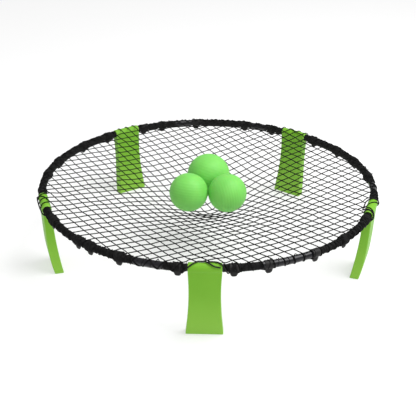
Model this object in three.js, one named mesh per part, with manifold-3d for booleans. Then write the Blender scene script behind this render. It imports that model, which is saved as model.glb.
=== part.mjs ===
// Roundnet set: a ring of five curved tubes held by five fold-in legs, a net hooked over the ring,
// and three balls lying on the net. Millimetres, +Z up, origin on the ground under the ring's centre.

import * as THREE from 'three';
import { mergeVertices } from 'three/addons/utils/BufferGeometryUtils.js';
import Module from 'manifold-3d';

const wasm = await Module();
wasm.setup();

// Ring: five tubes, each straight where it sits in a leg's head and curved between the heads.
const LEG_COUNT = 5;
const LEG_STEP = (2 * Math.PI) / LEG_COUNT;
const FIRST_LEG = -Math.PI / 2; // the front leg, on -Y
const RING_R = 444.5; // ring centreline at a leg head
const RING_Z = 190; // ring centreline above the ground
const TUBE_R = 9;
const TUBE_BORE_R = 7;
const STRAIGHT = 12; // straight stretch of tube each side of a head's middle
const GAP = 0.3; // clearance between pieces that touch

// Legs
const HEAD_R = 12.7;
const HEAD_WIDTH = 79;
const HEAD_BORE_R = 10;
const HINGE_IN = 0.4; // the hinge axis halves the tube's bow inside the head
const FOOT_WIDTH = 91;
const LEG_WALL = 3;
const VENT_R = 1.5;
const RECESS = { length: 13, width: 7, depth: 1.3, tilt: THREE.MathUtils.degToRad(35) };

// Net hooks, in degrees from the leg where each tube starts, counter-clockwise seen from above
const HOOK_ANGLES = [
  [8.5, 19, 35, 48, 64],
  [9, 25.5, 39, 50.5, 63],
  [10.5, 22, 42, 56, 64],
  [8.5, 21, 37.5, 49, 63],
  [13, 29, 34.5, 45.5, 64],
];
const HOOK_R = 10.8;
const HOOK_BORE_R = 9.75;
const HOOK_WIDTH = 20;
const TAB_TIP_WIDTH = 14;
const TAB_IN = 1; // inner face of the tab, outward from the tube's centre
const TAB_OUT = 3.4;
const TAB_TOP = -9.8; // where the tab joins the band, inside the band's thickness
const TAB_TIP = -22;

// Net: a dish that hangs from the top of the tubes, steepest near the balls
const NET_EDGE_R = 428.5;
const NET_TOP = 9.5; // height over the tube's centre where the net leaves the ring
const NET_PULL = 47.2; // drop of the net for each e-fold of distance from the middle
const NET_ROUND_R = 60; // how far from the middle the dish is rounded
const NET_THREAD = 2;

// Border cord: caught on the inner side of the tabs under the tubes, and lifted past each leg head,
// over its top, along its inner upper side or along its outer side
const CORD_R = 1.8;
const CORD_LOW = { angle: -98, reach: 13.1 };
const CORD_AT_HEADS = [100, 139, 10, 10, 0, 100]; // degrees round the ring, front head first and last
const CORD_HIGH_REACH = 16.3;

// Balls
const SMALL_BALL_R = 52;
const LARGE_BALL_R = 59;
const BALL_WALL = 2.4;
const BALL_REST = -62; // lowest point of the balls, from the tube's centre
const PAIR_Y = -37; // how far in front of the middle the two small balls lie
const VALVE_HOLE_R = 2.2;

// Run of the ring
const BEND_R = RING_R - STRAIGHT / Math.tan(LEG_STEP / 2);
const TUBE_RUN = 2 * STRAIGHT + BEND_R * LEG_STEP; // from one head's middle to the next

const material = (color, roughness) => new THREE.MeshStandardMaterial({ color, roughness, metalness: 0 });
const TUBE_BLACK = material(0x101012, 0.25);
const HOOK_BLACK = material(0x1b1b1b, 0.6);
const NET_BLACK = material(0x151515, 0.85);
const JOINER_GREY = material(0x4a4a4c, 0.5);
const LEG_GREEN = material(0x6fb43a, 0.45);
const BALL_GREEN = material(0x7fe070, 0.6);
const VALVE_GREEN = material(0x5fbf50, 0.7);

// A curve given by a function of t, whose steps fall evenly in t.
class Route extends THREE.Curve {
  constructor(pointAt) {
    super();
    this.pointAt = pointAt;
  }

  getUtoTmapping(u) {
    return u;
  }

  getPoint(t, target = new THREE.Vector3()) {
    return target.copy(this.pointAt(t));
  }
}

// A regular polygon's corners, the first one at the given turn.
function polygon(radius, sides, first = 0) {
  return Array.from({ length: sides }, (_, i) => {
    const turn = first + (2 * Math.PI * i) / sides;
    return new THREE.Vector2(radius * Math.cos(turn), radius * Math.sin(turn));
  });
}

function solidOf(geometry) {
  const bare = geometry.clone();
  bare.deleteAttribute('normal');
  bare.deleteAttribute('uv');
  const merged = mergeVertices(bare, 1e-3);
  const vertProperties = merged.attributes.position.array;
  const triVerts = new Uint32Array(merged.index.array);
  return new wasm.Manifold(new wasm.Mesh({ numProp: 3, vertProperties, triVerts }));
}

function geometryOf(solid) {
  const mesh = solid.getMesh();
  const geometry = new THREE.BufferGeometry();
  geometry.setAttribute('position', new THREE.BufferAttribute(mesh.vertProperties, 3));
  geometry.setIndex(new THREE.BufferAttribute(mesh.triVerts, 1));
  geometry.computeVertexNormals();
  return geometry;
}

function named(name, geometry, finish) {
  const mesh = new THREE.Mesh(geometry, finish);
  mesh.name = name;
  return mesh;
}

// Where the ring's centreline is at a distance along it from a head's middle, in that head's own
// frame (x outward, y along the ring), and how far the ring has turned there.
function ringAt(distance) {
  const along = Math.min(Math.abs(distance), STRAIGHT);
  const turn = (Math.abs(distance) - along) / BEND_R;
  const side = Math.sign(distance);
  const x = RING_R - BEND_R * (1 - Math.cos(turn));
  return { x, y: side * (along + BEND_R * Math.sin(turn)), turn: side * turn };
}

// A tube or rod along the ring, from one distance to another.
function alongRing(section, from, to, steps) {
  const route = new Route((t) => {
    const at = ringAt(THREE.MathUtils.lerp(from, to, t));
    return new THREE.Vector3(at.x, at.y, 0);
  });
  return new THREE.ExtrudeGeometry(section, { steps, bevelEnabled: false, extrudePath: route });
}

function tubeGeometry() {
  const section = new THREE.Shape(polygon(TUBE_R, 10));
  section.holes.push(new THREE.Path(polygon(TUBE_BORE_R, 8)));
  return alongRing(section, GAP, TUBE_RUN - GAP, 18);
}

// The spigot inside a head that the two tube ends push onto.
function joinerGeometry() {
  const reach = 28;
  const sliding = 0.8; // eases the rod's bow inside the tubes
  return alongRing(new THREE.Shape(polygon(TUBE_BORE_R - sliding, 8)), -reach, reach, 4);
}

// The flat of a leg: its side outline carried across it, trimmed to its front outline.
// inset draws both outlines that far inside, for the hollow.
function bladeSolid(inset) {
  const top = inset ? -HEAD_BORE_R - LEG_WALL - 1 : 0;
  const foot = -RING_Z + inset;
  const side = new THREE.Shape();
  side.moveTo(12.4 - inset, top);
  side.lineTo(12.4 - inset, -16);
  side.bezierCurveTo(6.5 - inset, -75, 9.5 - inset, -135, -7.5 - inset, foot);
  side.lineTo(-31 + inset, foot);
  side.bezierCurveTo(-20 + inset, -130, -14.5 + inset, -75, -12.2 + inset, -16);
  side.lineTo(-12.2 + inset, top);
  side.closePath();

  const half = HEAD_WIDTH / 2 - inset;
  const front = new THREE.Shape();
  front.moveTo(half, 1);
  front.lineTo(-half, 1);
  front.lineTo(-half, -12);
  front.bezierCurveTo(-half + 4, -70, -half + 1.5, -125, -FOOT_WIDTH / 2 + inset, -RING_Z - 1);
  front.lineTo(FOOT_WIDTH / 2 - inset, -RING_Z - 1);
  front.bezierCurveTo(half - 1.5, -125, half - 4, -70, half, -12);
  front.closePath();

  const options = { steps: 1, bevelEnabled: false, curveSegments: 6 };
  const across = new THREE.ExtrudeGeometry(side, { ...options, depth: FOOT_WIDTH + 4 });
  across.rotateX(Math.PI / 2).translate(0, FOOT_WIDTH / 2 + 2, 0);
  const through = new THREE.ExtrudeGeometry(front, { ...options, depth: 80 });
  through.rotateX(Math.PI / 2).rotateZ(Math.PI / 2).translate(-50, 0, 0);
  return solidOf(across).intersect(solidOf(through));
}

// The oval recess in the inner upper side of a head.
function recessSolid() {
  const straight = (RECESS.length - RECESS.width) / 2;
  const oval = new THREE.Shape();
  oval.absarc(straight, 0, RECESS.width / 2, -Math.PI / 2, Math.PI / 2, false);
  oval.absarc(-straight, 0, RECESS.width / 2, Math.PI / 2, (3 * Math.PI) / 2, false);
  const cutter = new THREE.ExtrudeGeometry(oval, { depth: 6, bevelEnabled: false, curveSegments: 6 });
  cutter.rotateZ(Math.PI / 2).translate(0, 0, HEAD_R - RECESS.depth);
  cutter.rotateY(-(Math.PI / 2 - RECESS.tilt));
  return solidOf(cutter);
}

function legGeometry() {
  const head = solidOf(new THREE.CylinderGeometry(HEAD_R, HEAD_R, HEAD_WIDTH, 24));
  const bore = solidOf(new THREE.CylinderGeometry(HEAD_BORE_R, HEAD_BORE_R, HEAD_WIDTH + 2, 20));
  const vent = new THREE.CylinderGeometry(VENT_R, VENT_R, 3 * LEG_WALL, 8);
  vent.rotateX(Math.PI / 2).translate(-19, 0, -RING_Z + LEG_WALL / 2);
  const leg = head.add(bladeSolid(0)).subtract(bore).subtract(bladeSolid(LEG_WALL));
  return geometryOf(leg.subtract(solidOf(vent)).subtract(recessSolid()));
}

// A band around the tube with a tab that hangs under it, for the border cord to catch on.
function hookGeometry() {
  const section = new THREE.Shape(polygon(HOOK_R, 12));
  section.holes.push(new THREE.Path(polygon(HOOK_BORE_R, 10, Math.PI / 2)));
  const ring = new THREE.ExtrudeGeometry(section, { depth: HOOK_WIDTH, bevelEnabled: false });
  ring.rotateX(Math.PI / 2).translate(0, HOOK_WIDTH / 2, 0);

  const side = new THREE.Shape();
  side.moveTo(TAB_OUT, TAB_TOP);
  side.lineTo(TAB_OUT, TAB_TIP + 1);
  side.lineTo(TAB_OUT - 0.8, TAB_TIP);
  side.lineTo(TAB_IN, TAB_TIP);
  side.lineTo(TAB_IN, TAB_TOP);
  side.closePath();

  const half = HOOK_WIDTH / 2;
  const tip = TAB_TIP_WIDTH / 2;
  const front = new THREE.Shape();
  front.moveTo(half, -5);
  front.lineTo(-half, -5);
  front.lineTo(-half, -12);
  front.lineTo(-tip, TAB_TIP + 3);
  front.lineTo(-tip + 3, TAB_TIP);
  front.lineTo(tip - 3, TAB_TIP);
  front.lineTo(tip, TAB_TIP + 3);
  front.lineTo(half, -12);
  front.closePath();

  const across = new THREE.ExtrudeGeometry(side, { depth: HOOK_WIDTH + 2, bevelEnabled: false });
  across.rotateX(Math.PI / 2).translate(0, half + 1, 0);
  const through = new THREE.ExtrudeGeometry(front, { depth: 20, bevelEnabled: false });
  through.rotateX(Math.PI / 2).rotateZ(Math.PI / 2);
  return geometryOf(solidOf(across).intersect(solidOf(through)).add(solidOf(ring)));
}

// Height of the hanging net over the tube's centre, at a distance from the middle.
function netHeight(r) {
  const squared = (d) => d * d + NET_ROUND_R * NET_ROUND_R;
  return NET_TOP - (NET_PULL / 2) * Math.log(squared(RING_R) / squared(r));
}

function netGeometry() {
  const radii = [0, 22, 48, 78, 120, 180, 260, 345, NET_EDGE_R];
  const below = radii.map((r) => new THREE.Vector2(r, netHeight(r) - NET_THREAD / 2));
  const above = radii.map((r) => new THREE.Vector2(r, netHeight(r) + NET_THREAD / 2)).reverse();
  return new THREE.LatheGeometry([...below, ...above], 40).rotateX(Math.PI / 2);
}

// The border cord's middle at a distance along the ring from the front head, and its turn around the
// ring's centreline: low beside the tabs, high past each head. Past the last head the end lies beside
// the start.
function cordAt(distance) {
  const heads = Math.round(distance / TUBE_RUN);
  const fromHead = distance - heads * TUBE_RUN;
  const at = ringAt(fromHead);
  const high = CORD_AT_HEADS[heads];
  const drop = THREE.MathUtils.smoothstep(Math.abs(fromHead), high < 50 ? 38 : 24, 52);
  const near = THREE.MathUtils.smoothstep(Math.abs(fromHead), 42, 51);
  const beside = heads === LEG_COUNT ? THREE.MathUtils.smoothstep(fromHead, -16, 24) : 0;
  const late = heads === 0 ? THREE.MathUtils.smoothstep(fromHead, 28, 53) : drop;
  const degrees = beside > 0 ? THREE.MathUtils.lerp(high, 32, beside) : THREE.MathUtils.lerp(high, CORD_LOW.angle, late);
  const angle = THREE.MathUtils.degToRad(degrees);
  const reach = THREE.MathUtils.lerp(CORD_HIGH_REACH, CORD_LOW.reach, near);
  const out = reach * Math.cos(angle);
  const x = at.x + out * Math.cos(at.turn);
  const y = at.y + out * Math.sin(at.turn);
  const azimuth = FIRST_LEG + heads * LEG_STEP;
  return new THREE.Vector3(
    x * Math.cos(azimuth) - y * Math.sin(azimuth),
    x * Math.sin(azimuth) + y * Math.cos(azimuth),
    reach * Math.sin(angle),
  );
}

// Distances along one tube's run, close together where the cord turns over a head.
function cordSteps() {
  const overHead = [0, 12, 24, 28, 30.5, 33, 35.5, 38, 40.5, 43, 45, 47, 49, 52];
  const along = 12;
  const last = overHead[overHead.length - 1];
  const between = Array.from({ length: along - 1 }, (_, i) => (
    THREE.MathUtils.lerp(last, TUBE_RUN - last, (i + 1) / along)));
  return [...overHead, ...between, ...overHead.slice(1).reverse().map((d) => TUBE_RUN - d)];
}

function cordGeometry() {
  const start = 6;
  const end = LEG_COUNT * TUBE_RUN + 36;
  const stops = Array.from({ length: LEG_COUNT + 1 }, (_, k) => cordSteps().map((d) => d + k * TUBE_RUN)).flat();
  const kept = [start, ...stops.filter((d) => d > start + 2 && d < end - 2), end];
  const route = new Route((t) => {
    const place = t * (kept.length - 1);
    const i = Math.min(Math.floor(place), kept.length - 2);
    return cordAt(THREE.MathUtils.lerp(kept[i], kept[i + 1], place - i));
  });
  const section = new THREE.Shape(polygon(CORD_R, 6));
  const options = { steps: kept.length - 1, bevelEnabled: false, extrudePath: route };
  return new THREE.ExtrudeGeometry(section, options);
}

// A hollow ball with its filling hole at the top of the turned profile.
function ballGeometry(radius) {
  const arc = (r, from, to, steps) => Array.from({ length: steps + 1 }, (_, i) => {
    const a = THREE.MathUtils.lerp(from, to, i / steps);
    return new THREE.Vector2(Math.max(r * Math.cos(a), 0), r * Math.sin(a));
  });
  const inner = radius - BALL_WALL;
  const outside = arc(radius, -Math.PI / 2, Math.acos(VALVE_HOLE_R / radius), 10);
  const inside = arc(inner, Math.acos(VALVE_HOLE_R / inner), -Math.PI / 2, 8);
  outside[0].x = 0;
  inside[inside.length - 1].x = 0;
  return new THREE.LatheGeometry([...outside, ...inside], 18);
}

function addBall(set, number, radius, x, y, lean) {
  const ball = new THREE.Group();
  ball.position.set(x, y, RING_Z + BALL_REST + radius);
  ball.rotation.x = lean; // turns the filling hole down, towards the back
  ball.add(named(`ball_${number}`, ballGeometry(radius), BALL_GREEN));
  const valve = new THREE.CylinderGeometry(VALVE_HOLE_R - GAP, VALVE_HOLE_R - GAP, BALL_WALL, 8);
  valve.translate(0, radius - BALL_WALL / 2 - 0.1, 0);
  ball.add(named(`ball_valve_${number}`, valve, VALVE_GREEN));
  set.add(ball);
}

const set = new THREE.Group();
set.name = 'roundnet_set';

const tube = tubeGeometry();
const joiner = joinerGeometry();
const leg = legGeometry();
const hook = hookGeometry();

for (let k = 0; k < LEG_COUNT; k += 1) {
  const sector = new THREE.Group();
  sector.rotation.z = FIRST_LEG + k * LEG_STEP;
  sector.position.z = RING_Z;
  sector.add(named(`rim_tube_${k + 1}`, tube, TUBE_BLACK));
  sector.add(named(`tube_joiner_${k + 1}`, joiner, JOINER_GREY));

  const legMesh = named(`leg_${k + 1}`, leg, LEG_GREEN);
  legMesh.position.x = RING_R - HINGE_IN;
  sector.add(legMesh);

  HOOK_ANGLES[k].forEach((degrees, i) => {
    const at = ringAt((THREE.MathUtils.degToRad(degrees) / LEG_STEP) * TUBE_RUN);
    const hookMesh = named(`net_hook_${k + 1}_${i + 1}`, hook, HOOK_BLACK);
    hookMesh.position.set(at.x, at.y, 0);
    hookMesh.rotation.z = at.turn;
    sector.add(hookMesh);
  });
  set.add(sector);
}

const net = named('net', netGeometry(), NET_BLACK);
net.position.z = RING_Z;
const cord = named('border_cord', cordGeometry(), NET_BLACK);
cord.position.z = RING_Z;
set.add(net, cord);

const pairX = SMALL_BALL_R + GAP / 2;
const largeY = PAIR_Y + Math.sqrt((SMALL_BALL_R + LARGE_BALL_R + GAP) ** 2 - pairX ** 2);
addBall(set, 1, SMALL_BALL_R, -pairX, PAIR_Y, -0.9);
addBall(set, 2, SMALL_BALL_R, pairX, PAIR_Y, -0.8);
addBall(set, 3, LARGE_BALL_R, 0, largeY, -1);

export default set;
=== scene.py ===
# Roundnet set: a lawn-game net on a ring of tubes with five fold-in legs, and three balls on it.
# Metres, +Z up, the origin on the ground under the middle of the ring.
import math

import bmesh
import bpy
import numpy as np
from mathutils import Matrix


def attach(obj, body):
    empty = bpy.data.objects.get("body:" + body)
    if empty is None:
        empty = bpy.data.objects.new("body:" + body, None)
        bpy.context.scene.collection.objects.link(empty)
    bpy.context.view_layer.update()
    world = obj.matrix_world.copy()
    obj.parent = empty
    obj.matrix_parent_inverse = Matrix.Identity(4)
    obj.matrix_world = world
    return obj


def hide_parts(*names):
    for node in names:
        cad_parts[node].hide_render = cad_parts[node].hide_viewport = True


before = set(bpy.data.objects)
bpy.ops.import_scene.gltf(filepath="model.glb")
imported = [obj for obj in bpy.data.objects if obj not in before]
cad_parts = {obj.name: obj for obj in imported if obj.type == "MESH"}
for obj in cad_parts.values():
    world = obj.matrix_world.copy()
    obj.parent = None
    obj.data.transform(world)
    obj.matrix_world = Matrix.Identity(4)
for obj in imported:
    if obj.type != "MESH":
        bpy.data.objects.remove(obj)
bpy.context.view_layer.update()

# --- Rim tubes -------------------------------------------------------------------------------------
# Five steel tubes in gloss black paint. Each is straight where it sits in a leg's head and bent to an
# arc between the heads, and its ends push onto the joiners inside the heads.
LEGS = 5
LEG_STEP = 2 * math.pi / LEGS
RING_R = 0.4445
RING_Z = 0.190
TUBE_R = 0.009
TUBE_BORE_R = 0.007
STRAIGHT = 0.012
BEND_R = RING_R - STRAIGHT / math.tan(LEG_STEP / 2)
TUBE_RUN = 2 * STRAIGHT + BEND_R * LEG_STEP
RING_RUN = LEGS * TUBE_RUN
UP = np.array([0.0, 0.0, 1.0])


def ring_at(distance):
    """The ring's centreline at a distance along it from the front head's middle, counter-clockwise: a
    straight stretch each side of a head, then an arc. Gives the points and the outward directions."""
    distance = np.asarray(distance, float)
    head = np.round(distance / TUBE_RUN)
    past = distance - head * TUBE_RUN
    along = np.minimum(np.abs(past), STRAIGHT)
    turn = (np.abs(past) - along) / BEND_R
    x = RING_R - BEND_R * (1 - np.cos(turn))
    y = np.sign(past) * (along + BEND_R * np.sin(turn))
    azimuth = head * LEG_STEP - math.pi / 2
    facing = azimuth + np.sign(past) * turn
    cos, sin = np.cos(azimuth), np.sin(azimuth)
    centre = np.stack([x * cos - y * sin, x * sin + y * cos, RING_Z + 0 * x], -1)
    outward = np.stack([np.cos(facing), np.sin(facing), 0 * x], -1)
    return centre, outward


def round_ring(distance, angle, reach):
    """Points at an angle round the ring's centreline (0 outward, a quarter turn up) and a reach from
    it, at distances along the ring. The three inputs spread over each other."""
    distance, angle, reach = np.broadcast_arrays(distance, angle, reach)
    centre, outward = ring_at(distance)
    return centre + outward * (reach * np.cos(angle))[..., None] + UP * (reach * np.sin(angle))[..., None]


def ease(value, low, high):
    """A smooth step from 0 at low to 1 at high."""
    t = np.clip((value - low) / (high - low), 0, 1)
    return t * t * (3 - 2 * t)


def made_of(name, grids, attributes=None):
    """One mesh from grids of points (rows, columns, 3), where each cell is a four-sided face. A grid
    that closes repeats its first row or column, and a row drawn together is a pole; doubled points are
    merged. Each grid is closed, so its faces are turned outwards by the sign of its volume."""
    points, faces, uvs, first = [], [], [], 0
    for grid in grids:
        rows, columns = grid.shape[:2]
        index = np.arange(rows * columns).reshape(rows, columns)
        quads = np.stack([index[:-1, :-1], index[:-1, 1:], index[1:, 1:], index[1:, :-1]], -1).reshape(-1, 4)
        flat = grid.reshape(-1, 3)
        a, b, c, d = (flat[quads[:, i]] - flat.mean(0) for i in range(4))
        volume = np.sum(np.cross(a, b) * c) + np.sum(np.cross(a, c) * d)
        quads = quads if volume > 0 else quads[:, ::-1]
        steps = np.linalg.norm(np.diff(grid, axis=0), axis=2).max(1)
        along = np.concatenate([[0], np.cumsum(steps)])
        around = np.linspace(0, 1, columns)
        uv = np.stack(np.meshgrid(along, around, indexing="ij"), -1).reshape(-1, 2)
        points.append(flat)
        faces.append(quads + first)
        uvs.append(uv)
        first += rows * columns
    points, faces, uvs = np.concatenate(points), np.concatenate(faces), np.concatenate(uvs)
    mesh = bpy.data.meshes.new(name)
    mesh.from_pydata(points, [], faces)
    layer = mesh.uv_layers.new(name="UVMap")
    layer.data.foreach_set("uv", uvs[faces.ravel()].astype(np.float32).ravel())
    for key, values in (attributes or {}).items():
        layer = mesh.attributes.new(key, "FLOAT", "POINT")
        layer.data.foreach_set("value", np.concatenate([v.ravel() for v in values]).astype(np.float32))
    work = bmesh.new()
    work.from_mesh(mesh)
    bmesh.ops.remove_doubles(work, verts=work.verts, dist=2e-7)
    bmesh.ops.dissolve_degenerate(work, edges=work.edges, dist=1e-7)
    work.to_mesh(mesh)
    work.free()
    mesh.polygons.foreach_set("use_smooth", np.ones(len(mesh.polygons), bool))
    mesh.update()
    piece = bpy.data.objects.new(name, mesh)
    bpy.context.scene.collection.objects.link(piece)
    return piece


def new_group(name, inputs, outputs):
    """A shader node group with the named inputs (kind, value) and outputs (kind), and its two ends."""
    group = bpy.data.node_groups.new(name, "ShaderNodeTree")
    for key, (kind, value) in inputs.items():
        socket = group.interface.new_socket(name=key, in_out="INPUT", socket_type="NodeSocket" + kind)
        if value is not None:
            socket.default_value = value
    for key, kind in outputs.items():
        group.interface.new_socket(name=key, in_out="OUTPUT", socket_type="NodeSocket" + kind)
    return group, group.nodes.new("NodeGroupInput"), group.nodes.new("NodeGroupOutput")


def maths(tree, operation, first, second=None):
    """The output of a maths node, whose inputs are each a number or another node's output."""
    node = tree.nodes.new("ShaderNodeMath")
    node.operation = operation
    for socket, value in zip(node.inputs, (first, second)):
        if isinstance(value, float):
            socket.default_value = value
        elif value is not None:
            tree.links.new(value, socket)
    return node.outputs[0]


def mixed(tree, factor, low, high):
    """Two colours mixed by a factor. Each colour is a fixed one or another node's output."""
    node = tree.nodes.new("ShaderNodeMix")
    node.data_type = "RGBA"
    tree.links.new(factor, node.inputs["Factor"])
    for key, colour in (("A", low), ("B", high)):
        if isinstance(colour, tuple):
            node.inputs[key].default_value = (*colour, 1)
        else:
            tree.links.new(colour, node.inputs[key])
    return node.outputs["Result"]


def raised(tree, height, strength, depth, under=None):
    """The normal of a surface that a height raises by up to depth metres, over another normal."""
    node = tree.nodes.new("ShaderNodeBump")
    node.inputs["Strength"].default_value = strength
    node.inputs["Distance"].default_value = depth
    tree.links.new(height, node.inputs["Height"])
    if under is not None:
        tree.links.new(under, node.inputs["Normal"])
    return node.outputs["Normal"]


def stored(tree, name):
    """The value stored under a name on each point of a piece."""
    node = tree.nodes.new("ShaderNodeAttribute")
    node.attribute_name = name
    return node.outputs["Fac"]


# Surface marks that every moulded, painted or spun finish shares: wide faint blotches, a fine grain, and
# sparse specks of dust, all read from the piece's own position.
SPECKS_PER_METRE = 260.0
marks, marks_in, marks_out = new_group(
    "surface_marks",
    {"Blotch Size": ("Float", 0.05), "Grain Size": ("Float", 0.0008), "Dust": ("Float", 0.3)},
    {"Blotches": "Float", "Grain": "Float", "Specks": "Float"},
)
place = marks.nodes.new("ShaderNodeTexCoord")
for key, detail, output in (("Blotch Size", 3.0, "Blotches"), ("Grain Size", 2.0, "Grain")):
    noise = marks.nodes.new("ShaderNodeTexNoise")
    noise.inputs["Detail"].default_value = detail
    marks.links.new(place.outputs["Object"], noise.inputs["Vector"])
    marks.links.new(maths(marks, "DIVIDE", 1.0, marks_in.outputs[key]), noise.inputs["Scale"])
    marks.links.new(noise.outputs["Fac"], marks_out.inputs[output])
cells = marks.nodes.new("ShaderNodeTexVoronoi")
cells.inputs["Scale"].default_value = SPECKS_PER_METRE
marks.links.new(place.outputs["Object"], cells.inputs["Vector"])
speck = marks.nodes.new("ShaderNodeMapRange")
speck.inputs["From Min"].default_value = 0.16
speck.inputs["From Max"].default_value = 0.05
marks.links.new(cells.outputs["Distance"], speck.inputs["Value"])
dust = maths(marks, "MULTIPLY", speck.outputs["Result"], marks_in.outputs["Dust"])
marks.links.new(dust, marks_out.inputs["Specks"])


def finish(name, low, high, rough, bump, blotch=0.05, grain=0.0008, dust=0.2, depth=0.0002, shine=0.5,
           worn=None):
    """A material whose colour drifts from low to high with the blotches and lightens at specks and at
    the worn edges, whose roughness drifts with the grain, and whose grain stands up by depth metres.
    Gives the material, its Principled shader, the grain's normal and the colour."""
    material = bpy.data.materials.new(name)
    material.use_nodes = True
    tree = material.node_tree
    shader = tree.nodes["Principled BSDF"]
    shader.inputs["Specular IOR Level"].default_value = shine
    group = tree.nodes.new("ShaderNodeGroup")
    group.node_tree = marks
    group.inputs["Blotch Size"].default_value = blotch
    group.inputs["Grain Size"].default_value = grain
    group.inputs["Dust"].default_value = dust
    drift = tree.nodes.new("ShaderNodeMapRange")
    drift.inputs["From Min"].default_value = 0.3
    drift.inputs["From Max"].default_value = 0.7
    tree.links.new(group.outputs["Blotches"], drift.inputs["Value"])
    dusty = tuple(min(1, 0.012 + 1.3 * c) for c in high)
    colour = mixed(tree, drift.outputs["Result"], low, high)
    colour = mixed(tree, group.outputs["Specks"], colour, dusty)
    if worn:
        rubbed = maths(tree, "MULTIPLY", stored(tree, "edge"), group.outputs["Grain"])
        colour = mixed(tree, rubbed, colour, worn)
    tree.links.new(colour, shader.inputs["Base Color"])
    gloss = tree.nodes.new("ShaderNodeMapRange")
    gloss.inputs["To Min"].default_value = rough[0]
    gloss.inputs["To Max"].default_value = rough[1]
    tree.links.new(group.outputs["Grain"], gloss.inputs["Value"])
    tree.links.new(gloss.outputs["Result"], shader.inputs["Roughness"])
    normal = raised(tree, group.outputs["Grain"], bump, depth)
    tree.links.new(normal, shader.inputs["Normal"])
    return material, shader, normal, colour


gloss_black, shader, _, _ = finish(
    "gloss_black_paint", low=(0.004, 0.004, 0.006), high=(0.009, 0.009, 0.012), rough=(0.16, 0.30),
    bump=0.12, blotch=0.03, grain=0.0012, dust=0.12, shine=0.25)
shader.inputs["Coat Weight"].default_value = 0.2
shader.inputs["Coat Roughness"].default_value = 0.08

END_GAP = 0.0003  # half the gap between two tubes' ends
BORE_LIP = 0.0003  # chamfer at the mouth of a tube's bore
along = np.linspace(END_GAP, TUBE_RUN - END_GAP, 91)
run = np.concatenate([along[:1], along, along[-1:], along[::-1], along[:1]])[:, None]
outer, bore = np.full_like(along, TUBE_R), np.full_like(along, TUBE_BORE_R)
mouth = [TUBE_BORE_R + BORE_LIP]
wall = np.concatenate([mouth, outer, mouth, bore, mouth])[:, None]
around = np.linspace(0, 2 * math.pi, 41)[None, :]
for k in range(LEGS):
    tube = made_of(f"tube_{k + 1}", [round_ring(run + k * TUBE_RUN, around, wall)])
    tube.data.set_sharp_from_angle(angle=math.radians(40))
    tube.data.materials.append(gloss_black)
    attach(tube, "ring")
    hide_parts(f"rim_tube_{k + 1}")

# --- Joiners ---------------------------------------------------------------------------------------
# The rod inside each leg's head that two tube ends push onto, moulded in dark grey plastic. It stays as
# the frame has it, hidden in the tubes.
joiner_grey, _, _, _ = finish(
    "dark_grey_moulding", low=(0.055, 0.055, 0.058), high=(0.075, 0.075, 0.078), rough=(0.42, 0.55),
    bump=0.25, blotch=0.02, grain=0.0006)
for k in range(LEGS):
    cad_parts[f"tube_joiner_{k + 1}"].data.materials.clear()
    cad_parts[f"tube_joiner_{k + 1}"].data.materials.append(joiner_grey)

# --- Legs ------------------------------------------------------------------------------------------
# Five hollow legs blow-moulded in bright green plastic: a round head that turns on the ring, with a small
# oval sink mark on its inner upper side, and a flat blade that leans in and flares to the foot.
HEAD_R = 0.0127
HEAD_HALF = 0.0395
HEAD_BORE_R = 0.010
HINGE_R = RING_R - 0.0004
SOFT = 0.0021  # rounding of the blade's edges
MARK_DEGREES = 145  # the sink mark's place round the head, then its half length, half height and depth
MARK_LONG, MARK_HIGH, MARK_DEEP = 0.0068, 0.0038, 0.0012
FOOT_EDGE = 0.003  # how far the foot's worn edge reaches up


def bend(points, count, start=0.0, end=1.0):
    """A cubic curve through the first and last of four points in millimetres, pulled by the two
    between."""
    t = np.linspace(start, end, count)[:, None]
    p = [np.array(q) / 1000 for q in points]
    return (1 - t) ** 3 * p[0] + 3 * t * (1 - t) ** 2 * p[1] + 3 * t * t * (1 - t) * p[2] + t ** 3 * p[3]


def corner(start, middle, end):
    """Three points round a corner: a quadratic curve from start to end, pulled by the middle."""
    t = np.array([0.25, 0.5, 0.75])[:, None]
    return (1 - t) ** 2 * start + 2 * t * (1 - t) * middle + t * t * end


def leg_outline():
    """The leg's side outline, closed, outward and up from the hinge: round the head from its outer lower
    side over the top, down the inner face, round the foot and up the outer face. Gives the counts of
    points on the head, the inner face and the foot too."""
    arc = np.radians(np.concatenate([
        np.linspace(-24.2, 110, 24, endpoint=False),
        np.linspace(110, 176, 30, endpoint=False),
        np.linspace(176, 200, 5),
    ]))
    head = HEAD_R * np.stack([np.cos(arc), np.sin(arc)], -1)
    inner = bend([(-12.0, -6), (-13.6, -70), (-19.5, -130), (-31, -190)], 34, 0.0, 0.986)
    foot = np.stack([np.linspace(-0.0288, -0.0097, 7), np.full(7, -RING_Z)], -1)
    outer = bend([(-7.5, -190), (8.6, -135), (6.6, -75), (10.5, -6.4)], 34, 0.014, 1.0)
    low_in = corner(inner[-1], np.array([-0.031, -RING_Z]), foot[0])
    low_out = corner(foot[-1], np.array([-0.0075, -RING_Z]), outer[0])
    line = np.concatenate([head, inner, low_in, foot, low_out, outer, head[:1]])
    return line, len(head), len(inner) + 3, len(foot)


def half_width(z):
    """Half the leg's width at a height under the hinge: the head's, then narrowing and flaring out to
    the foot along a cubic curve."""
    curve = bend([(39.5, -12), (35.5, -70), (38, -125), (45.5, -191)], 60)
    return np.interp(-z, -curve[:, 1], curve[:, 0])


def across_leg(wall, rounding, face):
    """A row of values across the leg: a side wall from the bore out, the rounded edge and the face, the
    same back again on the other side, and four points in the bore."""
    return np.concatenate([wall, rounding, face, rounding[::-1], wall[::-1], np.zeros(4)])


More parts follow.
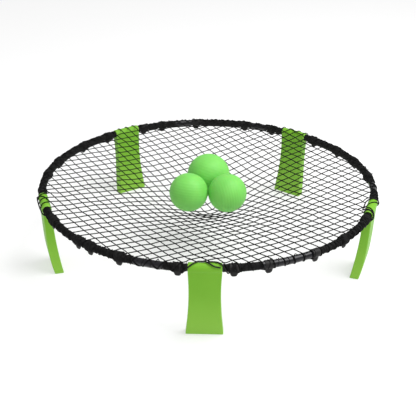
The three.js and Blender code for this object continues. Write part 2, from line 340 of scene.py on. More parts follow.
outline, in_head, in_inner, in_foot = leg_outline()
run = np.gradient(outline, axis=0)
run[0] = run[-1] = outline[1] - outline[-2]
out = np.stack([run[:, 1], -run[:, 0]], -1)
out /= np.linalg.norm(out, axis=1)[:, None]
out *= np.sign(np.sum(out[:5] * outline[:5]))
after_head = len(outline) - in_head - 1
in_outer = after_head - in_inner - in_foot
head_turn = np.degrees(np.unwrap(np.arctan2(outline[:in_head, 1], outline[:in_head, 0])))
hole_turn = np.radians(np.concatenate([
    head_turn,
    200 + 60 * np.linspace(0, 1, in_inner) ** 0.5,
    np.linspace(262, 278, in_foot),
    335.8 - 55 * (1 - np.linspace(0, 1, in_outer)) ** 0.5,
    [335.8],
]))
hole = HEAD_BORE_R * np.stack([np.cos(hole_turn), np.sin(hole_turn)], -1)

quarter = np.radians([0, 18, 36, 54, 72, 90])
wing = np.array([0.25, 0.3, 0.4, 0.55, 0.75, 0.9, 1.0])
across = np.concatenate([-wing[::-1], np.linspace(-0.21, 0.21, 17), wing])
level, none = np.ones(len(across)), np.zeros(5)
share = across_leg(np.array([0, 0.25, 0.5, 0.75, 0.92]), np.ones(len(quarter)), level)
proud = across_leg(none, SOFT * np.sin(quarter), SOFT * level)
short = across_leg(none, SOFT * (1 - np.cos(quarter)), SOFT * level)
edge_of = across_leg(np.array([0, 0, 0, 0, 0.3]), 1 - np.abs(quarter / math.pi * 4 - 1) ** 2, 0 * level)
side = np.concatenate([np.full(11, -1.0), across, np.full(11, 1.0), [0.6, 0.2, -0.2, -1.0]])

inset = outline - out * SOFT
flat = hole[:, None] + (inset - hole)[:, None] * share[None, :, None] + out[:, None] * proud[None, :, None]
sideways = side[None, :] * (half_width(flat[..., 1]) - short[None, :])
turned = np.arctan2(flat[..., 1], flat[..., 0])
from_mark = np.hypot(sideways / MARK_LONG, (turned - math.radians(MARK_DEGREES)) * HEAD_R / MARK_HIGH)
sunk = MARK_DEEP * ease(1.15 - from_mark, 0, 0.4)
sunk *= np.hypot(flat[..., 0], flat[..., 1]) > HEAD_R - 0.0006
flat = flat - out[:, None] * sunk[..., None]
foot_edge = np.clip(1 - np.abs(flat[..., 1] + RING_Z) / FOOT_EDGE, 0, 1) * 0.6
edge = np.clip(edge_of[None, :] + foot_edge, 0, 1)
# Painted light: a share that lightens each leg's green towards its foot, standing in for light bounced up
# from the floor.
painted_floor_bounce = ease(-flat[..., 1], 0.03, 0.20)

leg_green, shader, _, colour = finish(
    "bright_green_moulding", low=(0.156, 0.405, 0.019), high=(0.178, 0.446, 0.026), rough=(0.40, 0.54),
    bump=0.35, blotch=0.09, grain=0.0009, dust=0.10, depth=0.00025, shine=0.22, worn=(0.30, 0.62, 0.10))
shader.inputs["Subsurface Weight"].default_value = 0.05
shader.inputs["Subsurface Scale"].default_value = 0.01
tree = leg_green.node_tree
# Painted bounce light: the green turns lighter towards the foot by the stored "foot" share.
tree.links.new(mixed(tree, stored(tree, "foot"), colour, (0.235, 0.500, 0.050)), shader.inputs["Base Color"])

for k in range(LEGS):
    azimuth = k * LEG_STEP - math.pi / 2
    outward = np.array([math.cos(azimuth), math.sin(azimuth), 0])
    sidewise = np.array([-math.sin(azimuth), math.cos(azimuth), 0])
    points = (outward * (HINGE_R + flat[..., :1]) + sidewise * sideways[..., None]
              + UP * (RING_Z + flat[..., 1:]))
    leg = made_of(f"moulded_leg_{k + 1}", [points], {"edge": [edge], "foot": [painted_floor_bounce]})
    leg.data.set_sharp_from_angle(angle=math.radians(48))
    leg.data.materials.append(leg_green)
    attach(leg, f"leg_{k + 1}")
    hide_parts(f"leg_{k + 1}")

# --- Net hooks -------------------------------------------------------------------------------------
# Twenty-five hooks moulded in matte black plastic: a band round the tube with a tab hanging under it.
# The border cord is caught on the tab's inner side, which keeps the net pulled over the ring.
HOOK_DEGREES = [
    [8.5, 19, 35, 48, 64],
    [9, 25.5, 39, 50.5, 63],
    [10.5, 22, 42, 56, 64],
    [8.5, 21, 37.5, 49, 63],
    [13, 29, 34.5, 45.5, 64],
]
HOOKS = np.array([[d / 72 * TUBE_RUN + k * TUBE_RUN for d in row] for k, row in enumerate(HOOK_DEGREES)])

BAND_HALF, BAND_MIDDLE, BAND_THICK = 0.0100, 0.01032, 0.00055  # half length, reach, half thickness


def lobe(value, power):
    """A cosine or sine made squarer by a power, with its sign kept."""
    return np.sign(value) * np.abs(value) ** power


def hook_band():
    """The band: a rounded oblong, 20 mm along the tube and 1 mm thick, carried round the tube. Gives
    along, angle and reach."""
    turn = np.linspace(0, 2 * math.pi, 25)
    along = BAND_HALF * lobe(np.cos(turn), 0.25)
    reach = BAND_MIDDLE + BAND_THICK * lobe(np.sin(turn), 0.5)
    angle = np.linspace(0, 2 * math.pi, 49)
    return along[:, None] + 0 * angle, angle + 0 * turn[:, None], reach[:, None] + 0 * angle


def hook_plate(half_top, half_tip, top, shoulder, tip, inner, outer, soft):
    """An upright plate with its front outline tapering from the shoulder to a rounded tip: the outline
    drawn in from its edge to the middle on both faces, with its edge rounded. Gives along, up and out."""
    line = np.array([
        (half_top - 0.002, top),
        (half_top, top - 0.002),
        (half_top, shoulder),
        (half_tip + 0.0012, tip + 0.0045),
        (half_tip - 0.001, tip + 0.0012),
        (half_tip - 0.0035, tip),
        (0, tip - 0.0002),
    ])
    line = np.concatenate([[(0, top)], line, line[-2::-1] * (-1, 1), [(0, top)]])
    reach = np.concatenate([[0], np.cumsum(np.linalg.norm(np.diff(line, axis=0), axis=1))])
    at = np.linspace(0, reach[-1], 49)
    line = np.stack([np.interp(at, reach, line[:, i]) for i in (0, 1)], -1)
    line[1:-1] = (line[:-2] + 2 * line[1:-1] + line[2:]) / 4
    middle = np.array([0, (top + tip) / 2])
    size = np.linalg.norm(line - middle, axis=1)[:, None]
    turn = np.radians([0, 30, 60, 90, 120, 150, 180])
    draw = np.concatenate([[0, 0.5], 1 - soft * (1 - np.sin(turn)) / 0.01, [0.5, 0]])
    thick = (inner + outer) / 2 + (outer - inner) / 2 * np.cos(turn)
    out_at = np.concatenate([[outer, outer], thick, [inner, inner]])
    flat = middle + (line - middle)[:, None] * draw[None, :, None]
    return flat[..., 0], flat[..., 1], out_at[None, :] + 0 * size


hook_black, _, _, _ = finish(
    "matte_black_moulding", low=(0.007, 0.007, 0.007), high=(0.014, 0.013, 0.013), rough=(0.42, 0.60),
    bump=0.4, blotch=0.012, grain=0.0007, dust=0.25, shine=0.25, worn=(0.045, 0.043, 0.041))
along, angle, reach = hook_band()
aside, up, out_by = hook_plate(
    half_top=0.0098, half_tip=0.0070, top=-0.0094, shoulder=-0.0120, tip=-0.0220, inner=0.0010,
    outer=0.0034, soft=0.0008)
band_edge = np.clip((np.abs(along) - 0.0085) / 0.0012, 0, 1)
tab_edge = np.tile([0, 0, 0.7, 1, 0.8, 0.3, 0, 0, 0, 0, 0], (len(up), 1))
for k in range(LEGS):
    for i in range(5):
        centre, outward = ring_at(HOOKS[k, i])
        sidewise = np.cross(UP, outward)
        band = (centre + sidewise * along[..., None] + outward * (reach * np.cos(angle))[..., None]
                + UP * (reach * np.sin(angle))[..., None])
        tab = centre + sidewise * aside[..., None] + outward * out_by[..., None] + UP * up[..., None]
        hook = made_of(f"hook_{k + 1}_{i + 1}", [band, tab], {"edge": [band_edge, tab_edge]})
        hook.data.set_sharp_from_angle(angle=math.radians(50))
        hook.data.materials.append(hook_black)
        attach(hook, "ring")
        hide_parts(f"net_hook_{k + 1}_{i + 1}")

# --- Border cord -----------------------------------------------------------------------------------
# A round braided black cord threaded through the net's edge. It lies under the tubes, inside the hooks'
# tabs, and passes each leg's head over, inside or outside it; its end lies beside its start in front.
CORD_R = 0.0017
LOW_ANGLE, LOW_REACH = -98.0, 0.0131
UNDER_REACH, OVER_REACH = 0.0109, 0.0153  # between the hooks, and past a head
HEAD_ANGLES = np.array([100.0, 160.0, 10.0, 10.0, 0.0, 100.0])
HEAD_REACHES = np.array([0.0153, 0.0188, 0.0158, 0.0158, 0.0158, 0.0153])
CORD_START, CORD_END = 0.006, 0.036  # past the front head's middle, the end on the second time round


def cord_place(distance):
    """The cord's angle and reach round the ring at a distance along it: under the tube, lower where it
    passes a hook's tab, and at a head's own angle past its middle, with smooth steps between."""
    head = np.clip(np.round(distance / TUBE_RUN), 0, LEGS).astype(int)
    past = distance - head * TUBE_RUN
    beyond = np.abs(past)
    high = HEAD_ANGLES[head]
    low = ease(beyond, np.where(high < 50, 0.038, 0.024), 0.052)
    angle = high + (LOW_ANGLE - high) * low
    for at_head, side, stops, turns in (
        (5, -1, (0.016, 0.028, 0.0395, 0.047, 0.056), (100, 64, 24, -20, LOW_ANGLE)),
        (0, 1, (0.020, 0.030, 0.0395, 0.047, 0.0555), (100, 88, 56, 0, LOW_ANGLE)),
        (5, 1, (0.000, 0.007, 0.013, 0.022, 0.036), (97, 80, 60, 40, 31)),
    ):
        here = (head == at_head) & (past * side >= 0)
        angle = np.where(here, np.interp(beyond, stops, turns), angle)
    hook = np.abs(np.asarray(distance)[..., None] % RING_RUN - HOOKS.ravel()).min(-1)
    under = UNDER_REACH + (LOW_REACH - UNDER_REACH) * (1 - ease(hook, 0.0105, 0.020))
    past_head = OVER_REACH + (HEAD_REACHES[head] - OVER_REACH) * (1 - ease(beyond, 0.022, 0.032))
    reach = past_head + (under - past_head) * ease(beyond, 0.041, 0.051)
    return np.radians(angle), reach


def twine(path, beside, radius, sides=8):
    """A round strand along a path: a circle carried along it, set by the direction beside it, and drawn
    to a point at both ends."""
    run = np.gradient(path, axis=0)
    run /= np.linalg.norm(run, axis=1)[:, None] + 1e-12
    first = beside - run * np.sum(run * beside, axis=1)[:, None]
    first /= np.linalg.norm(first, axis=1)[:, None] + 1e-12
    second = np.cross(run, first)
    turn = np.linspace(0, 2 * math.pi, sides + 1)
    ring = np.cos(turn)[None, :, None] * first[:, None] + np.sin(turn)[None, :, None] * second[:, None]
    body = path[:, None] + ring * np.broadcast_to(radius, len(path))[:, None, None]
    caps = np.repeat(path[[0, -1]][:, None], sides + 1, axis=1)
    return np.concatenate([caps[:1], body, caps[1:]])


# Strands twisted or braided together, read from the strand's own map: slanting ridges that run round it.
strands, strands_in, strands_out = new_group(
    "twisted_strands",
    {"Pitch": ("Float", 0.003), "Turns": ("Float", 1.0)},
    {"Ridges": "Float"},
)
mapped = strands.nodes.new("ShaderNodeUVMap")
mapped.uv_map = "UVMap"
parts = strands.nodes.new("ShaderNodeSeparateXYZ")
strands.links.new(mapped.outputs["UV"], parts.inputs[0])
pitches = maths(strands, "DIVIDE", parts.outputs["X"], strands_in.outputs["Pitch"])
slant = maths(strands, "MULTIPLY", parts.outputs["Y"], strands_in.outputs["Turns"])
fold = maths(strands, "PINGPONG", maths(strands, "ADD", pitches, slant), 0.5)
strands.links.new(maths(strands, "MULTIPLY", fold, 2.0), strands_out.inputs["Ridges"])


def twisted(finished, pitch, turns, depth, strength, painted_groove_shade):
    """Adds the strands' ridges to a finish: they stand up over its grain, and a painted shade darkens its
    colour in the grooves between them."""
    material, shader, normal, colour = finished
    tree = material.node_tree
    group = tree.nodes.new("ShaderNodeGroup")
    group.node_tree = strands
    group.inputs["Pitch"].default_value = pitch
    group.inputs["Turns"].default_value = turns
    ridges = group.outputs["Ridges"]
    tree.links.new(raised(tree, ridges, strength, depth, normal), shader.inputs["Normal"])
    # Painted shade: the colour darkens towards the groove colour between the ridges.
    tree.links.new(mixed(tree, ridges, painted_groove_shade, colour), shader.inputs["Base Color"])
    return material


cord_black = twisted(
    finish("braided_black_cord", low=(0.005, 0.005, 0.005), high=(0.012, 0.012, 0.012), rough=(0.6, 0.8),
           bump=0.3, blotch=0.01, grain=0.0005, shine=0.25),
    pitch=0.0035, turns=2.0, depth=0.0003, strength=0.7, painted_groove_shade=(0.004, 0.004, 0.004))
at = np.arange(CORD_START, RING_RUN + CORD_END, 0.002)
angle, reach = cord_place(at)
path = round_ring(at, angle, reach)
path[at > RING_RUN - 0.05] += UP * 0.0006
centre, _ = ring_at(at)
cord = made_of("braided_border_cord", [twine(path, path - centre, CORD_R, 10)])
cord.data.materials.append(cord_black)
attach(cord, "ring")
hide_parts("border_cord")

# --- Net -------------------------------------------------------------------------------------------
# Knotted black twine in square meshes of about 25 mm, pulled over the ring and hanging in a shallow dish.
# Each thread runs over the top of the tube, or over a leg's head, and down outside to the border cord; on
# the front head, where the cord lies on top, the threads end at it.
THREAD_R = 0.0013
NET_PULL = 0.0472
NET_ROUND_R = 0.060
NET_TOP = 0.0095
FAMILIES = [(37.76, 0.0239, 0.0159), (123.36, 0.0245, 0.02364)]  # across the threads, spacing, first one
WIDER = 0.055


def offset_of(family, count):
    """How far from the middle a family's counted thread lies: evenly spaced, and a little wider on the
    side where the net is pulled harder."""
    _, spacing, first = FAMILIES[family]
    return first + spacing * (count + WIDER * np.minimum(count, 0))


def count_of(family, offset):
    """The count of threads at an offset, the other way round."""
    _, spacing, first = FAMILIES[family]
    count = (offset - first) / spacing
    return np.where(count < 0, count / (1 + WIDER), count)


def net_height(r):
    """Height of the hanging net over the tube's centre at a distance from the middle: it drops by the
    same amount each time the distance shrinks by the same share, and is rounded within 60 mm."""
    return NET_TOP - NET_PULL / 2 * np.log((RING_R ** 2 + NET_ROUND_R ** 2) / (r ** 2 + NET_ROUND_R ** 2))


def lies_on(distance):
    """How far from the ring's centreline the net lies: on the tube, on a hook's band or on a leg's
    head."""
    past = np.abs(distance - np.round(distance / TUBE_RUN) * TUBE_RUN)
    hook = np.abs(np.asarray(distance)[..., None] % RING_RUN - HOOKS.ravel()).min(-1)
    head = 0.0037 * (1 - ease(past, HEAD_HALF, 0.045))
    band = 0.0018 * (1 - ease(hook, 0.0100, 0.0140))
    return TUBE_R + np.maximum(head, band)


ring_stops = np.linspace(0, RING_RUN, 3001)
stop_cord, stop_cord_reach = cord_place(ring_stops)
stop_angle = np.maximum(np.radians(100), stop_cord)
stop_reach = lies_on(ring_stops) + THREAD_R
stop_reach = np.where(stop_cord > stop_angle - 0.35, np.maximum(stop_reach, stop_cord_reach), stop_reach)
brim = round_ring(ring_stops, stop_angle, stop_reach)
brim_azimuth = np.unwrap(np.arctan2(brim[:, 1], brim[:, 0]))
brim_r = np.hypot(brim[:, 0], brim[:, 1])


def brim_at(azimuth):
    """Where the net meets the ring at an azimuth: its distance from the middle, its height over the
    tube's centre and the distance along the ring."""
    first = brim_azimuth[0]
    azimuth = first + (azimuth - first) % (2 * math.pi)
    far = np.interp(azimuth, brim_azimuth, brim_r)
    high = np.interp(azimuth, brim_azimuth, brim[:, 2]) - RING_Z
    return far, high, np.interp(azimuth, brim_azimuth, ring_stops)


dice = np.random.default_rng(21)
slack = dice.normal(0, 1, (90, 90, 3)) * (0.0009, 0.0009, 0.0007)


def knot_shift(a, b):
    """How far the net is off its even lattice at places counted in threads each way: each knot has its
    own small shift, and the thread between two knots runs straight."""
    a, b = a + 45, b + 45
    i, j = np.floor(a).astype(int), np.floor(b).astype(int)
    u, v = (a - i)[..., None], (b - j)[..., None]
    return ((1 - u) * (1 - v) * slack[i, j] + u * (1 - v) * slack[i + 1, j]
            + (1 - u) * v * slack[i, j + 1] + u * v * slack[i + 1, j + 1])


normal_a, normal_b = (
    np.array([math.cos(math.radians(turn)), math.sin(math.radians(turn))]) for turn, _, _ in FAMILIES)
CREEP, CREEP_R = 0.0045, 0.16  # how far the middle of the net has crept sideways, and how widely
BRIM_WIDE = 0.055  # how far in from the brim the net lifts to meet it


def net_place(flat):
    """Points of the hanging net over points of the flat lattice: shifted with their knots and by the
    net's wide creep, then dropped to the hanging height, and eased onto the brim near the ring."""
    r = np.hypot(flat[..., 0], flat[..., 1])
    brim_far, brim_high, _ = brim_at(np.arctan2(flat[..., 1], flat[..., 0]))
    inside = 1 - ease(r, 0.36, brim_far - 0.004)
    a, b = count_of(0, flat @ normal_a), count_of(1, flat @ normal_b)
    shift = knot_shift(a, b) * (0.25 + 0.75 * inside)[..., None]
    creep = CREEP * np.exp(-(flat[..., 0] ** 2 + flat[..., 1] ** 2) / CREEP_R ** 2)
    moved = flat + shift[..., :2] * ease(brim_far - r, 0.0, 0.02)[..., None] + creep[..., None] * normal_b
    r = np.hypot(moved[..., 0], moved[..., 1])
    near = ease(r, brim_far - BRIM_WIDE, brim_far)
    z = net_height(r) + shift[..., 2] * inside
    z = z + (brim_high - net_height(brim_far)) * near
    return np.concatenate([moved, (RING_Z + z)[..., None]], -1)


def thread_end(across, along, offset, sign):
    """How far along a straight thread it meets the brim, brought nearer in eight steps."""
    far = sign * math.sqrt(max(RING_R ** 2 - offset ** 2, 0))
    for _ in range(8):
        spot = across * offset + along * far
        limit = brim_at(math.atan2(spot[1], spot[0]))[0]
        far = sign * math.sqrt(max(limit ** 2 - offset ** 2, 1e-8))
    return far


def thread_tail(spot, heading):
    """A thread's end from its spot on the brim, over the outside and down to the border cord, drifting
    along the ring the way it was heading, less where it lies off a head. A thread that meets the brim
    on the front head, or where the cord lies on top, has no tail."""
    _, _, distance = brim_at(math.atan2(spot[1], spot[0]))
    _, outward = ring_at(distance)
    sidewise = np.cross(UP, outward)
    drift = np.clip((heading @ sidewise[:2]) / max(abs(heading @ outward[:2]), 0.3), -1.3, 1.3)
    past = abs(distance - round(float(distance) / TUBE_RUN) * TUBE_RUN)
    drift = drift * (0.0125 - 0.0065 * float(ease(past, 0.038, 0.046)))
    top = np.interp(distance, ring_stops, stop_angle)
    bottom = np.array([math.radians(LOW_ANGLE)])
    for _ in range(6):
        ending = (distance + drift * (top - bottom)) % RING_RUN
        bottom = (bottom + cord_place(ending)[0]) / 2
    steps = np.linspace(0, 1, 17)[1:]
    angles = top + (bottom - top) * steps
    places = distance + drift * (top - angles)
    reaches = lies_on(places) + THREAD_R
    reaches = reaches + (cord_place(ending)[1] - reaches) * ease(steps, 0.85, 1.0)
    tail = round_ring(places, angles, reaches)
    in_front = min(distance, RING_RUN - distance) < 0.040
    return tail[:0] if in_front or top - bottom[0] < 0.2 else tail


threads = []
for own, other in ((0, 1), (1, 0)):
    across = (normal_a, normal_b)[own]
    crossed = (normal_a, normal_b)[other]
    along = np.array([-across[1], across[0]])
    for count in range(-19, 20):
        offset = float(offset_of(own, count))
        if abs(offset) > RING_R - 0.010:
            continue
        ends = [thread_end(across, along, offset, sign) for sign in (-1, 1)]
        quarters = offset_of(other, np.arange(-84, 85) / 4)
        inside = np.sort((quarters - offset * (across @ crossed)) / (crossed @ along))
        inside = inside[(inside > ends[0] + 0.002) & (inside < ends[1] - 0.002)]
        reach = np.concatenate([[ends[0]], inside, [ends[1]]])
        flat = across * offset + along * reach[:, None]
        tails = thread_tail(flat[0], -along), thread_tail(flat[-1], along)
        path = np.concatenate([tails[0][::-1], net_place(flat), tails[1]])
        beside = np.broadcast_to(np.array([across[0], across[1], 0.0]), path.shape)
        threads.append(twine(path, beside, THREAD_R, 6))

KNOT_LONG, KNOT_WIDE, KNOT_HIGH = 0.0021, 0.0016, 0.0014  # halves of a knot's sizes
KNOT_LEAN = math.radians(80.5)
counts_a, counts_b = np.meshgrid(np.arange(-20, 21), np.arange(-20, 21), indexing="ij")
unskew = np.linalg.inv(np.array([normal_a, normal_b]))
offsets = np.stack([offset_of(0, counts_a), offset_of(1, counts_b)], -1)
crossings = (offsets @ unskew.T).reshape(-1, 2)
clear = brim_at(np.arctan2(crossings[:, 1], crossings[:, 0]))[0] - np.hypot(crossings[:, 0], crossings[:, 1])
rise = np.linspace(-math.pi / 2, math.pi / 2, 5)[:, None]
turn = np.linspace(0, 2 * math.pi, 7)
bead = np.stack(np.broadcast_arrays(
    KNOT_LONG * np.cos(rise) * np.cos(turn),
    KNOT_WIDE * np.cos(rise) * np.sin(turn),
    KNOT_HIGH * np.sin(rise),
), -1)
cos, sin = math.cos(KNOT_LEAN), math.sin(KNOT_LEAN)
bead = bead @ np.array([[cos, sin, 0], [-sin, cos, 0], [0, 0, 1]])
knots = [knot + bead for knot in net_place(crossings[clear > 0.004])]

twine_black = twisted(
    finish("knotted_black_twine", low=(0.004, 0.004, 0.004), high=(0.009, 0.009, 0.009), rough=(0.6, 0.85),
           bump=0.3, blotch=0.01, grain=0.0004, dust=0.15, shine=0.1),
    pitch=0.0018, turns=1.0, depth=0.0002, strength=0.6, painted_groove_shade=(0.004, 0.004, 0.004))
net = made_of("net_mesh", threads + knots)
net.data.materials.append(twine_black)
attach(net, "ring")
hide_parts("net")

# --- Gathered net edge -----------------------------------------------------------------------------
# The net is wider than the ring, so its outermost meshes bunch up round the tubes: a matted sleeve with
# strands crossing over it, thick in places and almost bare in others, and hooks that show through.
BARE = [(-108.5, -102.5), (-72.5, -53.5), (-5, 2), (67, 72.5), (96, 104.5), (248, 257.5)]
THICK = [(-46, -22), (3, 46), (131, 189), (203, 249)]
LOOPS = [  # loose loops: degrees from the right-hand side, width, height, degrees round the tube
    (-107.2, 0.011, 0.0046, 100), (-104.0, 0.008, 0.0050, 95), (-130.5, 0.012, 0.0045, 105),
    (-24.4, 0.007, 0.0050, 80), (6.5, 0.004, 0.0068, 50), (10.5, 0.003, 0.0060, 55),
    (12.5, 0.003, 0.0072, 60), (168.0, 0.006, 0.0045, 60), (152.0, 0.007, 0.0040, 70),
    (-62.0, 0.010, 0.0032, 105), (30.0, 0.006, 0.0042, 75), (140.0, 0.006, 0.0038, 80),
]

HEM_CLEAR = 0.0405  # how far from a head's middle the gathered net stays
LOOSE_ENDS = 16  # on each tube


def share_of(distance, stretches, soft=1.6):
    """1 inside the stretches of ring given in degrees from the right-hand side, 0 outside, softly."""
    degrees = np.asarray(distance) / TUBE_RUN * 72 - 90
    total = np.zeros_like(degrees)
    for low, high in stretches:
        for turn in (-360, 0, 360):
            total = np.maximum(total, ease(degrees, low + turn - soft / 2, low + turn + soft / 2)
                               * (1 - ease(degrees, high + turn - soft / 2, high + turn + soft / 2)))
    return total


def cover_at(distance):
    """How thickly the gathered net covers the tube, from 0 on bare tube to 1."""
    return (0.35 + 0.65 * share_of(distance, THICK, 3)) * (1 - share_of(distance, BARE))


def wave(u, v, seed, size):
    """A smooth uneven pattern: six waves of random slants and phases laid over each other."""
    roll = np.random.default_rng(seed)
    total = 0
    for _ in range(6):
        slant, phase = roll.uniform(0, 2 * math.pi, 2)
        scale = size * roll.uniform(0.7, 1.6)
        total = total + np.sin(2 * math.pi * (u * math.cos(slant) + v * math.sin(slant)) / scale + phase)
    return total / 6


def sleeve_grid(at, seed):
    """One matted stretch: a skin round the tube at distances along the ring, lumpy by two waves, thinner
    beneath but for a lump at each hook, and drawn in to the tube at both ends."""
    turn = np.linspace(0, 2 * math.pi, 33)[None, :]
    lumps = wave(at, turn * 0.0095, 3 + seed, 0.012) + 0.7 * wave(at, turn * 0.0095, 11 + seed, 0.005)
    lumps[:, -1] = lumps[:, 0]
    beneath = ease(-np.cos(turn - math.radians(80)), -0.2, 0.6)
    fat = cover_at(at) * (1 - 0.8 * beneath)
    hook = np.abs(at % RING_RUN - HOOKS.ravel()).min(-1, keepdims=True)
    lump = 0.0016 * (1 - ease(hook, 0.006, 0.015)) * fat
    lump = lump + 0.0030 * (1 - ease(hook, 0.006, 0.019)) * cover_at(at) * beneath ** 2
    outside = lies_on(at) - 0.0006 + 0.0006 * fat + 0.0019 * (0.2 + fat) * lumps + lump
    ends = np.minimum(np.arange(len(at)), np.arange(len(at))[::-1])[:, None]
    outside = TUBE_R + 0.00015 + (outside - TUBE_R) * ease(ends, -0.5, 1.5)
    outside = np.maximum(outside, TUBE_R + 0.0001)
    outer = round_ring(at, turn, outside)
    inner = round_ring(at, turn, np.full_like(outside, TUBE_R + 0.00005))
    return np.concatenate([outer, inner[::-1], outer[:1]])


matted_black, _, _, _ = finish(
    "matted_black_twine", low=(0.003, 0.003, 0.003), high=(0.009, 0.009, 0.009), rough=(0.7, 0.95),
    bump=1.0, blotch=0.006, grain=0.0011, depth=0.0008, shine=0.2)
for k in range(LEGS):
    first = k * TUBE_RUN
    stops = np.arange(0.0412, TUBE_RUN - HEM_CLEAR, 0.0026) + first
    kept = cover_at(stops) > 0.3
    runs = np.split(np.arange(len(stops)), np.where(np.diff(kept.astype(int)) != 0)[0] + 1)
    stretches = [stops[r][:, None] for r in runs if kept[r[0]] and len(r) > 3]
    sleeve = made_of(f"matted_edge_{k + 1}", [sleeve_grid(at, k) for at in stretches])
    sleeve.data.materials.append(matted_black)
    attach(sleeve, "ring")

    # Strands across the sleeve, closer together where it is thick, slanting to each side in turn.
    fine = np.linspace(0.042, TUBE_RUN - 0.042, 2000)
    density = np.interp(cover_at(fine + first), [0, 0.35, 1], [1 / 0.024, 1 / 0.0085, 1 / 0.0055])
    total = np.concatenate([[0], np.cumsum((density[1:] + density[:-1]) / 2 * np.diff(fine))])
    count = int(total[-1])
    roll = np.random.default_rng(50 + k)
    counted = (np.arange(count) + 0.5) * total[-1] / count + roll.normal(0, 0.16, count)
    starts = np.interp(counted, total, fine)
    slants = np.where(np.arange(count) % 2 == 0, 1, -1) * roll.uniform(0.002, 0.011, count)
    slants = slants + roll.normal(0, 0.002, count)
    thick = cover_at(starts + first)
    slants = slants * (0.4 + 0.6 * thick)
    grids = []
    for start, slant, fat in zip(starts, slants, thick):
        steps = np.linspace(0, 1, 20)
        angles = np.radians(118 - 216 * steps + roll.normal(0, 4))
        places = start + slant * (steps - 0.5) + 0.0016 * np.sin(steps * 9 + roll.uniform(0, 6)) + first
        places = np.clip(places, first + HEM_CLEAR, (k + 1) * TUBE_RUN - HEM_CLEAR)
        height = lies_on(places) + 0.0002 + 0.0006 * fat * (1 - ease(steps, 0.5, 0.8))
        height = height + 0.0007 * fat * np.sin(steps * 14 + roll.uniform(0, 6))
        height = height + (cord_place(places)[1] - height) * ease(steps, 0.9, 1.0)
        path = round_ring(places, angles, height)
        beside = np.cross(UP, ring_at(places)[1])
        grids.append(twine(path, beside, roll.uniform(0.0007, 0.0011), 6))

    # Short loose ends that stand up from it, and the larger loops.
    for _ in range(LOOSE_ENDS):
        base = roll.uniform(0.05, TUBE_RUN - 0.05)
        angle = math.radians(roll.uniform(20, 150))
        rise = roll.uniform(0.0015, 0.0045)
        steps = np.linspace(0, 1, 5)
        lean = roll.uniform(-0.003, 0.003)
        lies = float(lies_on(np.array([base + first]))[0])
        angles = angle + 0.2 * steps * roll.uniform(-1, 1)
        path = round_ring(first + base + lean * steps, angles, lies + rise * steps)
        beside = np.broadcast_to(np.cross(UP, ring_at(base + first)[1]), path.shape)
        grids.append(twine(path, beside, THREAD_R * (1 - 0.35 * steps), 6))
    for degrees, wide, high, turned in LOOPS:
        base = (degrees + 90) / 72 * TUBE_RUN % RING_RUN - first
        if not 0.045 < base < TUBE_RUN - 0.045:
            continue
        steps = np.linspace(0, 1, 13)
        bow = np.sin(math.pi * steps)
        places = first + base + wide * (steps - 0.5) + 0.25 * wide * np.sin(2 * math.pi * steps)
        path = round_ring(places, np.radians(turned + 12 * bow), lies_on(places) + high * bow ** 0.7)
        beside = np.cross(UP, ring_at(places)[1])
        grids.append(twine(path, beside, 0.0010, 6))
    hem = made_of(f"gathered_strands_{k + 1}", grids)
    hem.data.materials.append(twine_black)
    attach(hem, "ring")

# --- Balls -----------------------------------------------------------------------------------------
# Three hollow rubber balls, soft matte green, moulded with faint lines round them and a ridge where the
# halves of the mould met. A plug closes the filling hole, which is turned down and to the back.
SMALL_R, LARGE_R = 0.052, 0.059
REST = -0.062  # the balls' undersides, from the tube's centre
HOLE_R, WALL = 0.0022, 0.0022
SEAM_HIGH, SEAM_WIDE = 0.00012, 0.012  # the mould's ridge, its width as a share of the radius
RINGS = 46.0  # the moulded lines' angle from the middle to the pole, in radians
PAIR_Y = -0.037
pair_x = SMALL_R + 0.00015
large_y = PAIR_Y + math.sqrt((SMALL_R + LARGE_R + 0.0003) ** 2 - pair_x ** 2)


def ball_grid(radius, middle, lean):
    """A ball as circles from its filling hole round to the far pole, with the wall turned in at the
    hole. The turned axis leans from the back towards the ground."""
    hole = math.asin(HOLE_R / radius)
    mouth = hole + np.array([0.0, 0.004, 0.012, 0.03])
    polar = np.concatenate([mouth, np.linspace(hole + 0.06, math.pi, 80)])
    turn = np.linspace(0, 2 * math.pi, 113)
    reach = radius + 0 * polar
    reach[:2] -= (0.0003, 0.0001)
    lip = np.array([radius - WALL, radius - WALL])
    polar = np.concatenate([[0, hole], polar])
    reach = np.concatenate([lip, reach])
    x = (reach * np.sin(polar))[:, None] * np.cos(turn)
    z = (reach * np.sin(polar))[:, None] * np.sin(turn)
    y = (reach * np.cos(polar))[:, None] + 0 * turn
    cos, sin = math.cos(lean), math.sin(lean)
    local = np.stack([x, y * cos - z * sin, y * sin + z * cos], -1)
    return local + middle, local / radius


ball_green, shader, normal, _ = finish(
    "soft_green_rubber", low=(0.170, 0.580, 0.095), high=(0.196, 0.630, 0.110), rough=(0.46, 0.58),
    bump=0.35, blotch=0.03, grain=0.0011, dust=0.08, depth=0.00025, shine=0.3)
shader.inputs["Subsurface Weight"].default_value = 0.12
shader.inputs["Subsurface Scale"].default_value = 0.012
tree = ball_green.node_tree
lines = maths(tree, "SINE", maths(tree, "MULTIPLY", stored(tree, "level"), RINGS))
tree.links.new(raised(tree, lines, 0.25, 0.0004, normal), shader.inputs["Normal"])

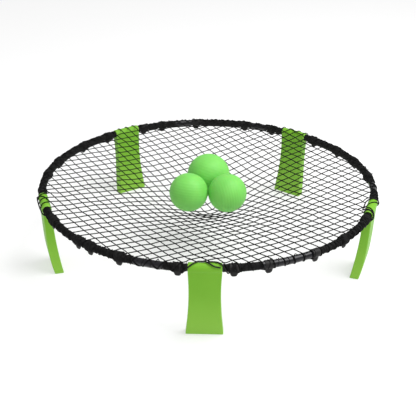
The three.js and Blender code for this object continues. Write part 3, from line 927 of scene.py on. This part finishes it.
valve_green, _, _, _ = finish(
    "valve_rubber", low=(0.10, 0.42, 0.07), high=(0.13, 0.48, 0.09), rough=(0.55, 0.7), bump=0.4,
    blotch=0.004, grain=0.0006, dust=0.1)
for number, radius, x, y, lean, lines_up in (
    (1, SMALL_R, -pair_x, PAIR_Y, -0.9, (0.1, 0.25, 0.96)),
    (2, SMALL_R, pair_x, PAIR_Y, -0.8, (0.95, 0.3, 0.1)),
    (3, LARGE_R, 0.0, large_y, -1.0, (0.3, 0.4, 0.85)),
):
    middle = np.array([x, y, RING_Z + REST + radius])
    grid, local = ball_grid(radius, middle, lean)
    seam = np.array(lines_up) / np.linalg.norm(lines_up)
    level_of = local @ seam
    grid = grid + local * (SEAM_HIGH * np.exp(-(level_of / SEAM_WIDE) ** 2))[..., None]
    ball = made_of(f"rubber_ball_{number}", [grid], {"level": [level_of]})
    ball.data.materials.append(ball_green)
    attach(ball, f"ball_{number}")
    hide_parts(f"ball_{number}")
    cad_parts[f"ball_valve_{number}"].data.materials.clear()
    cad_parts[f"ball_valve_{number}"].data.materials.append(valve_green)

# --- Floor, light and camera -----------------------------------------------------------------------
# A wide white floor under a white sky, a broad soft light high on the right and a faint one in front.
bpy.ops.mesh.primitive_plane_add(size=14, location=(0, 0, -0.0004))
floor = bpy.context.object
floor.name = "floor"
white = bpy.data.materials.new("white_floor")
white.use_nodes = True
shader = white.node_tree.nodes["Principled BSDF"]
for key, value in (
    ("Base Color", (0.50, 0.50, 0.50, 1)),
    ("Roughness", 0.9),
    ("Specular IOR Level", 0.1),
    ("Emission Color", (1, 1, 1, 1)),
    ("Emission Strength", 0.53),
):
    shader.inputs[key].default_value = value
floor.data.materials.append(white)

world = bpy.data.worlds.new("studio")
bpy.context.scene.world = world
world.use_nodes = True
world.node_tree.nodes["Background"].inputs["Color"].default_value = (1, 1, 1, 1)
world.node_tree.nodes["Background"].inputs["Strength"].default_value = 0.58


def soft_light(name, place, target, size, power):
    """A square soft light at a place, turned to face a target."""
    data = bpy.data.lights.new(name, "AREA")
    data.shape = "SQUARE"
    data.size = size
    data.energy = power
    light = bpy.data.objects.new(name, data)
    bpy.context.scene.collection.objects.link(light)
    light.location = place
    away = np.array(place, float) - np.array(target, float)
    tilt = math.atan2(math.hypot(away[0], away[1]), away[2])
    light.rotation_euler = (tilt, 0, math.atan2(away[1], away[0]) + math.pi / 2)


soft_light("key", place=(1.5, -0.3, 2.9), target=(0, 0, 0.15), size=2.4, power=104)
soft_light("front", place=(0.4, -3.4, 0.9), target=(0, 0, 0.1), size=1.8, power=9)

SENSOR = 36
LENS = 863.73 / 416 * SENSOR
CAMERA_BACK, CAMERA_UP = 2.1282, 1.0243  # from the ring's middle
swing, pitch, roll = math.radians(0.655), 0.47719841, 0.01207825
camera_data = bpy.data.cameras.new("camera")
camera_data.lens = LENS
camera_data.sensor_width = SENSOR
camera_data.clip_start, camera_data.clip_end = 0.05, 60
camera = bpy.data.objects.new("camera", camera_data)
bpy.context.scene.collection.objects.link(camera)
forward = np.array([-math.cos(pitch) * math.sin(swing), math.cos(pitch) * math.cos(swing), -math.sin(pitch)])
right = np.array([math.cos(swing), math.sin(swing), 0.0])
above = np.cross(right, forward)
right, above = (
    math.cos(roll) * right + math.sin(roll) * above,
    math.cos(roll) * above - math.sin(roll) * right,
)
stand = [CAMERA_BACK * math.sin(swing), -CAMERA_BACK * math.cos(swing), CAMERA_UP + RING_Z]
rows = [[right[i], above[i], -forward[i], stand[i]] for i in range(3)]
camera.matrix_world = Matrix(rows + [[0, 0, 0, 1]])
bpy.context.scene.camera = camera
bpy.context.scene.view_settings.view_transform = "Standard"
